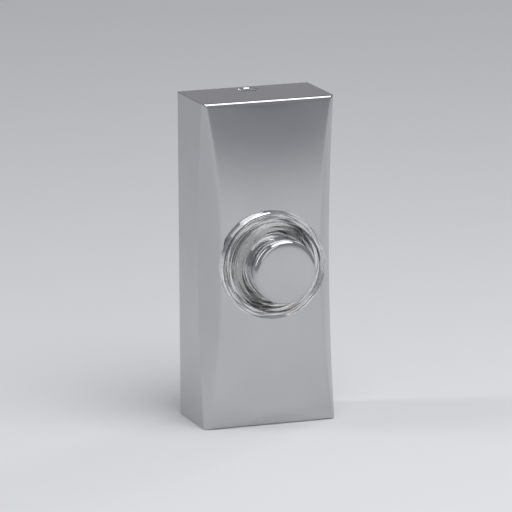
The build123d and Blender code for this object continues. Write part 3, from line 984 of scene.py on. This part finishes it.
    def dress(self, shell: bpy.types.Object) -> None:
        """Plates the outside and lens seat, leaves the hollow as cast and sets the shell on the housing."""
        dress(shell, CHROME.material("cover_chrome"))
        shell.data.materials.append(CAST.material("cover_casting"))
        shell.data.materials.append(PLATED_SEAT.material("cover_seat"))
        heart = Vector((0.0, -self.depth / 2, 0.0))
        for face in shell.data.polygons:
            middle = face.center
            hollow = (middle - heart).dot(face.normal) < 0
            seat = middle.xz.length < self.seat_radius - self.seat_margin
            looks_out = face.normal.y < -0.5
            coat = Coat.CHROME
            if seat and looks_out:
                coat = Coat.SEAT
            elif hollow or seat:
                coat = Coat.CAST
            face.material_index = coat.value
        stand_for(shell, Body.HOUSING, "cover")


@dataclass
class LensRing:
    """Clear stepped ring round the button: spigot through the cover, flange, step, tower and funnel mouth."""

    bore: float = 8.3 * MM
    spigot: float = 10.5 * MM
    counterbore: float = 9.4 * MM
    flange: float = 12.9 * MM
    step: float = 12.0 * MM
    tower: float = 11.1 * MM
    crest: float = 10.4 * MM
    funnel: float = 9.3 * MM
    tail_level: float = 14.4 * MM
    counterbore_level: float = 19.6 * MM
    seat_level: float = 19.55 * MM
    flange_level: float = 22.45 * MM
    step_level: float = 22.95 * MM
    shoulder_level: float = 23.95 * MM
    crest_level: float = 24.45 * MM
    mouth_level: float = 23.65 * MM
    rim_round: float = 0.25 * MM
    inner_round: float = 0.12 * MM
    key_half_width: float = 1.2 * MM
    key_depth: float = 3.6 * MM
    air_gap: float = 0.03 * MM
    sharp_edge: float = radians(40)

    def build(self, lathe: TurningTree) -> bpy.types.Object:
        """Turns the ring and cuts the two slots that the plunger's keys slide in.

        Args:
            lathe: Tree that turns the profile.

        Returns:
            The ring.
        """
        fine = self.inner_round
        tail = self.tail_level + self.air_gap
        seat = self.seat_level + self.air_gap
        profile = rounded_outline([
            (self.counterbore, tail, fine),
            (self.spigot, tail, fine),
            (self.spigot, seat, fine),
            (self.flange, seat, fine),
            (self.flange, self.flange_level, self.rim_round),
            (self.step, self.flange_level, fine),
            (self.step, self.step_level, self.rim_round),
            (self.tower, self.step_level, fine),
            (self.tower, self.shoulder_level, self.rim_round),
            (self.crest, self.crest_level, self.rim_round),
            (self.funnel, self.crest_level, self.rim_round),
            (self.bore, self.mouth_level, self.rim_round),
            (self.bore, self.counterbore_level, fine),
            (self.counterbore, self.counterbore_level, fine),
        ])
        ring = lathe.turned("lens_ring_clear", profile)
        low = (-self.spigot - MM, -self.tail_level - self.key_depth, -self.key_half_width)
        high = (self.spigot + MM, -self.tail_level + MM, self.key_half_width)
        cut(ring, box_tool("key_tool", low, high))
        smooth(ring, self.sharp_edge)
        return ring

    def dress(self, ring: bpy.types.Object) -> None:
        """Leaves the ring clear and sets it on the housing."""
        dress(ring, CLEAR.material("ring_clear"))
        stand_for(ring, Body.HOUSING, "lens_ring")


@dataclass
class ButtonCap:
    """Plated cup that the fingertip presses."""

    radius: float = 7.9 * MM
    wall: float = 1.1 * MM
    foot_level: float = 14.4 * MM
    face_level: float = 30.2 * MM
    face_wall: float = 1.3 * MM
    face_crown: float = 0.2 * MM
    edge_round: float = 1.2 * MM
    face_rings: int = 12
    face_share: float = 0.97
    inner_round: float = 0.3 * MM
    foot_round: float = 0.15 * MM
    round_steps: int = 10

    def build(self, lathe: TurningTree) -> bpy.types.Object:
        """Turns the cup.

        Args:
            lathe: Tree that turns the profile.

        Returns:
            The cup.
        """
        inner = self.radius - self.wall
        corners = [
            (0.0, self.face_level - self.face_wall, 0.0),
            (inner, self.face_level - self.face_wall, self.inner_round),
            (inner, self.foot_level, self.foot_round),
            (self.radius, self.foot_level, self.foot_round),
            (self.radius, self.face_level - self.face_crown, self.edge_round),
        ]
        flat = self.radius - self.edge_round
        for ring in reversed(range(self.face_rings)):
            out = flat * self.face_share * ring / self.face_rings
            corners.append((out, self.face_level - self.face_crown * (out / self.radius) ** 2, 0.0))
        cup = lathe.turned("button_cap_plated", rounded_outline(corners, self.round_steps, False))
        smooth(cup)
        return cup

    def dress(self, cup: bpy.types.Object) -> None:
        """Plates the cup and sets it on the button."""
        dress(cup, BUTTON_CHROME.material("button_chrome"))
        stand_for(cup, Body.BUTTON, "button_cap")


@dataclass
class CoverScrew:
    """Slotted cheese-head screw sunk in the top of the cover."""

    level: float = 4.0 * MM
    seat: float = 38.2 * MM
    head_radius: float = 2.3 * MM
    head_height: float = 1.5 * MM
    head_round: float = 0.25 * MM
    shank_radius: float = 1.25 * MM
    length: float = 6.9 * MM
    slot_half_width: float = 0.35 * MM
    slot_depth: float = 0.8 * MM
    tip_chamfer: float = 0.4 * MM
    tip_round: float = 0.05 * MM
    neck_round: float = 0.1 * MM

    def build(self, lathe: TurningTree) -> bpy.types.Object:
        """Turns the screw and cuts its slot.

        Args:
            lathe: Tree that turns the profile.

        Returns:
            The screw.
        """
        tip = self.seat - self.length
        top = self.seat + self.head_height
        corners = [
            (0.0, tip, 0.0),
            (self.shank_radius - self.tip_chamfer, tip, self.tip_round),
            (self.shank_radius, tip + self.tip_chamfer, self.tip_round),
            (self.shank_radius, self.seat, self.neck_round),
            (self.head_radius, self.seat, self.neck_round),
            (self.head_radius, top, self.head_round),
            (0.0, top, 0.0),
        ]
        profile = rounded_outline(corners, closed=False)
        place = (0, -self.level, 0)
        screw = lathe.turned("cover_screw_slotted", profile, place, UPRIGHT, SMALL_SEGMENTS)
        low = (-self.head_radius - MM, -self.level - self.slot_half_width, top - self.slot_depth)
        high = (self.head_radius + MM, -self.level + self.slot_half_width, top + MM)
        cut(screw, box_tool("slot_tool", low, high))
        smooth(screw)
        return screw

    def dress(self, screw: bpy.types.Object) -> None:
        """Plates the screw and sets it on the housing."""
        dress(screw, ZINC.material("screw_zinc"))
        stand_for(screw, Body.HOUSING, "cover_screw")


@dataclass
class Works:
    """What lies behind the cover: base, spring, contacts, terminals, lamp and resistor."""

    spring_radius: float = 3.8 * MM
    spring_wire: float = 0.6 * MM
    spring_turns: float = 6.0
    spring_dead_turns: float = 1.0
    spring_steps: int = 40
    spring_sharp: float = radians(60)
    spring_low: float = 2.5 * MM
    spring_high: float = 13.6 * MM
    stroke: float = 1.8 * MM
    leaf_root: Place = (8.6 * MM, -6.15 * MM, -13.4 * MM)
    leaf_tip: Place = (0.0, -6.15 * MM, -8.2 * MM)
    leaf_tip_share: float = 0.574
    resistor_middle: float = 1.6 * MM
    resistor_half_length: float = 1.85 * MM

    def wind_spring(self) -> None:
        """Winds the return spring and sets it on the housing."""
        length = self.spring_high - self.spring_low
        values = {
            "Radius": self.spring_radius,
            "Wire": self.spring_wire,
            "Length": length,
            "Turns": self.spring_turns,
            "Dead Turns": self.spring_dead_turns,
            "Steps": self.spring_steps,
            "Material": SPRING_STEEL.material("spring_wire"),
        }
        spring = CoilTree().make("return_spring_wound", values)
        spring.data.transform(Matrix.Translation((0, -self.spring_low, 0)) @ Matrix.Rotation(pi / 2, 4, "X"))
        smooth(spring, self.spring_sharp)
        stand_for(spring, Body.HOUSING, "return_spring")
        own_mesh(spring)

    def bend_leaf(self) -> None:
        """Makes the contact leaf from a copy of the CAD node's mesh, in bronze."""
        leaf = new_piece("contact_leaf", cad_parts["moving_contact"].data.copy())
        close_seams(leaf)
        smooth(leaf)
        dress(leaf, BRONZE.material("leaf_bronze"))
        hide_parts("moving_contact")
        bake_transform(leaf)
        LOG.info("%s: %d faces, clamped on housing", leaf.name, len(leaf.data.polygons))

    def dress_nodes(self) -> None:
        """Gives each CAD node that stays in the picture its finish."""
        banded = BandedLacquer(
            (0.6, 0.45, 0.26),
            TINNED.tint,
            ((0.09, 0.035, 0.015), (0.012, 0.012, 0.012), (0.36, 0.04, 0.02), (0.6, 0.4, 0.1)),
            self.resistor_middle - self.resistor_half_length,
            self.resistor_middle + self.resistor_half_length,
        )
        finishes = {
            "base_plate": BLACK_MOULDING,
            "cover_nut": ZINC,
            "lens_clip": SPRING_STEEL,
            "button_plunger": NATURAL_MOULDING,
            "fixed_contact": BRASS,
            "fixed_contact_tip": SILVER,
            "terminal_insert_left": BRASS,
            "terminal_insert_right": BRASS,
            "terminal_washer_left": ZINC,
            "terminal_washer_right": ZINC,
            "terminal_screw_left": BRASS,
            "terminal_screw_right": BRASS,
            "lamp": LAMP_RESIN,
            "lamp_lead_left": TINNED,
            "lamp_lead_right": TINNED,
            "resistor": banded,
        }
        for name, finish in finishes.items():
            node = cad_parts[name]
            material = finish.material(name + "_finish")
            for slot in node.material_slots:
                slot.material = material
            LOG.info("%s: dressed", name)

    def build(self) -> None:
        """Makes the moving pieces and dresses the rest."""
        self.wind_spring()
        self.bend_leaf()
        self.dress_nodes()


@dataclass
class PaperFloor:
    """Plain pale paper that the push stands on."""

    level: float = -40.0 * MM
    reach: float = 2.6
    tone: Colour = (0.9, 0.9, 0.905)
    roughness: float = 0.95
    shine: float = 0.1

    def material(self) -> bpy.types.Material:
        """Gives the paper one even, matt tone."""
        graph = ShaderGraph("floor_paper")
        tone = (*self.tone, 1.0)
        graph.constants(Base_Color=tone, Roughness=self.roughness, Specular_IOR_Level=self.shine)
        return graph.material

    def build(self) -> None:
        """Lays the floor on the stage."""
        far = self.reach
        corners = [(-far, -far), (far, -far), (far, far), (-far, far)]
        mesh = bpy.data.meshes.new("floor")
        mesh.from_pydata([(x, y, self.level) for x, y in corners], [], [[0, 1, 2, 3]])
        floor = new_piece("floor", mesh)
        dress(floor, self.material())


def outward(bearing: float, rise: float) -> Vector:
    """Gives the way out from the push at a bearing from the front, towards the right, and a rise."""
    return Vector((sin(bearing) * cos(rise), -cos(bearing) * cos(rise), sin(rise)))


@dataclass(frozen=True)
class Softbox:
    """Soft oval light that looks at the push; its glow is the radiance of its face."""

    name: str
    bearing: float
    rise: float
    distance: float
    size: Point
    glow: float

    def hang(self) -> None:
        """Hangs the light at its bearing and rise, which are in degrees."""
        light = bpy.data.lights.new(self.name, "AREA")
        light.shape = "ELLIPSE"
        light.size, light.size_y = self.size
        area = pi / 4 * self.size[0] * self.size[1]
        light.energy = self.glow * pi * area
        lamp = new_piece(self.name, light)
        out = outward(radians(self.bearing), radians(self.rise))
        turn = out.to_track_quat("Z", "Y").to_matrix().to_4x4()
        lamp.matrix_world = Matrix.Translation(out * self.distance) @ turn


LIGHTS = (
    Softbox("front_light", bearing=-3.0, rise=16.0, distance=1.5, size=(0.75, 0.85), glow=0.72),
    Softbox("top_light", bearing=20.0, rise=62.0, distance=0.55, size=(0.5, 0.5), glow=2.7),
    Softbox("left_light", bearing=-106.0, rise=34.0, distance=1.2, size=(0.22, 1.3), glow=3.0),
    Softbox("right_light", bearing=124.0, rise=34.0, distance=1.2, size=(0.25, 0.6), glow=2.0),
)


@dataclass
class Studio:
    """Surroundings, lights and camera of the picture."""

    camera_bearing: float = radians(-19.70)
    camera_pitch: float = radians(12.21)
    camera_roll: float = radians(-0.37)
    camera_distance: float = 1.298
    camera_aim: Place = (0.0, -8.0 * MM, 0.0)
    aim_nudge: Point = (0.22 * MM, -0.3 * MM)
    focal_length: float = 376.7
    sensor: float = 36.0
    clip: Point = (0.05, 20.0)
    light_turns: int = 32
    room_low: Colour = (0.335, 0.33, 0.345)
    room_high: Colour = (0.26, 0.27, 0.3)

    def camera(self) -> None:
        """Puts the camera at the photograph's viewing angle."""
        back = outward(self.camera_bearing, self.camera_pitch)
        level_right = Vector((cos(self.camera_bearing), sin(self.camera_bearing), 0.0))
        level_up = back.cross(level_right)
        right = level_right * cos(self.camera_roll) + level_up * sin(self.camera_roll)
        up = back.cross(right)
        aim = Vector(self.camera_aim) + right * self.aim_nudge[0] + up * self.aim_nudge[1]
        lens = bpy.data.cameras.new("picture_camera")
        lens.lens = self.focal_length
        lens.sensor_width = self.sensor
        lens.clip_start, lens.clip_end = self.clip
        camera = new_piece("picture_camera", lens)
        turn = Matrix((right, up, back)).transposed().to_4x4()
        camera.matrix_world = Matrix.Translation(aim + back * self.camera_distance) @ turn
        bpy.context.scene.camera = camera

    def surroundings(self) -> None:
        """Sets the plain dim room round the push, a little dimmer overhead."""
        world = bpy.data.worlds.new("room")
        bpy.context.scene.world = world
        world.use_nodes = True
        tree = world.node_tree
        split = tree.nodes.new("ShaderNodeSeparateXYZ")
        tree.links.new(tree.nodes.new("ShaderNodeTexCoord").outputs["Generated"], split.inputs["Vector"])
        ramp = tree.nodes.new("ShaderNodeValToRGB")
        tree.links.new(split.outputs["Z"], ramp.inputs["Fac"])
        low, high = ramp.color_ramp.elements
        low.position, low.color = 0.0, (*self.room_low, 1.0)
        high.position, high.color = 1.0, (*self.room_high, 1.0)
        tree.links.new(ramp.outputs["Color"], tree.nodes["Background"].inputs["Color"])

    def build(self) -> None:
        """Sets the whole stage."""
        PaperFloor().build()
        self.camera()
        self.surroundings()
        for light in LIGHTS:
            light.hang()
        bpy.context.scene.view_settings.view_transform = "Standard"
        paths = bpy.context.scene.cycles
        paths.max_bounces = self.light_turns
        paths.glossy_bounces = self.light_turns
        paths.transmission_bounces = self.light_turns


def main() -> None:
    """Builds and dresses the push, then sets the stage."""
    logging.basicConfig(level=logging.INFO, format="%(name)s: %(message)s")
    lathe = TurningTree()
    for part in (Cover(), LensRing(), ButtonCap(), CoverScrew()):
        part.dress(part.build(lathe))
    Works().build()
    Studio().build()


if __name__ == "__main__":
    main()
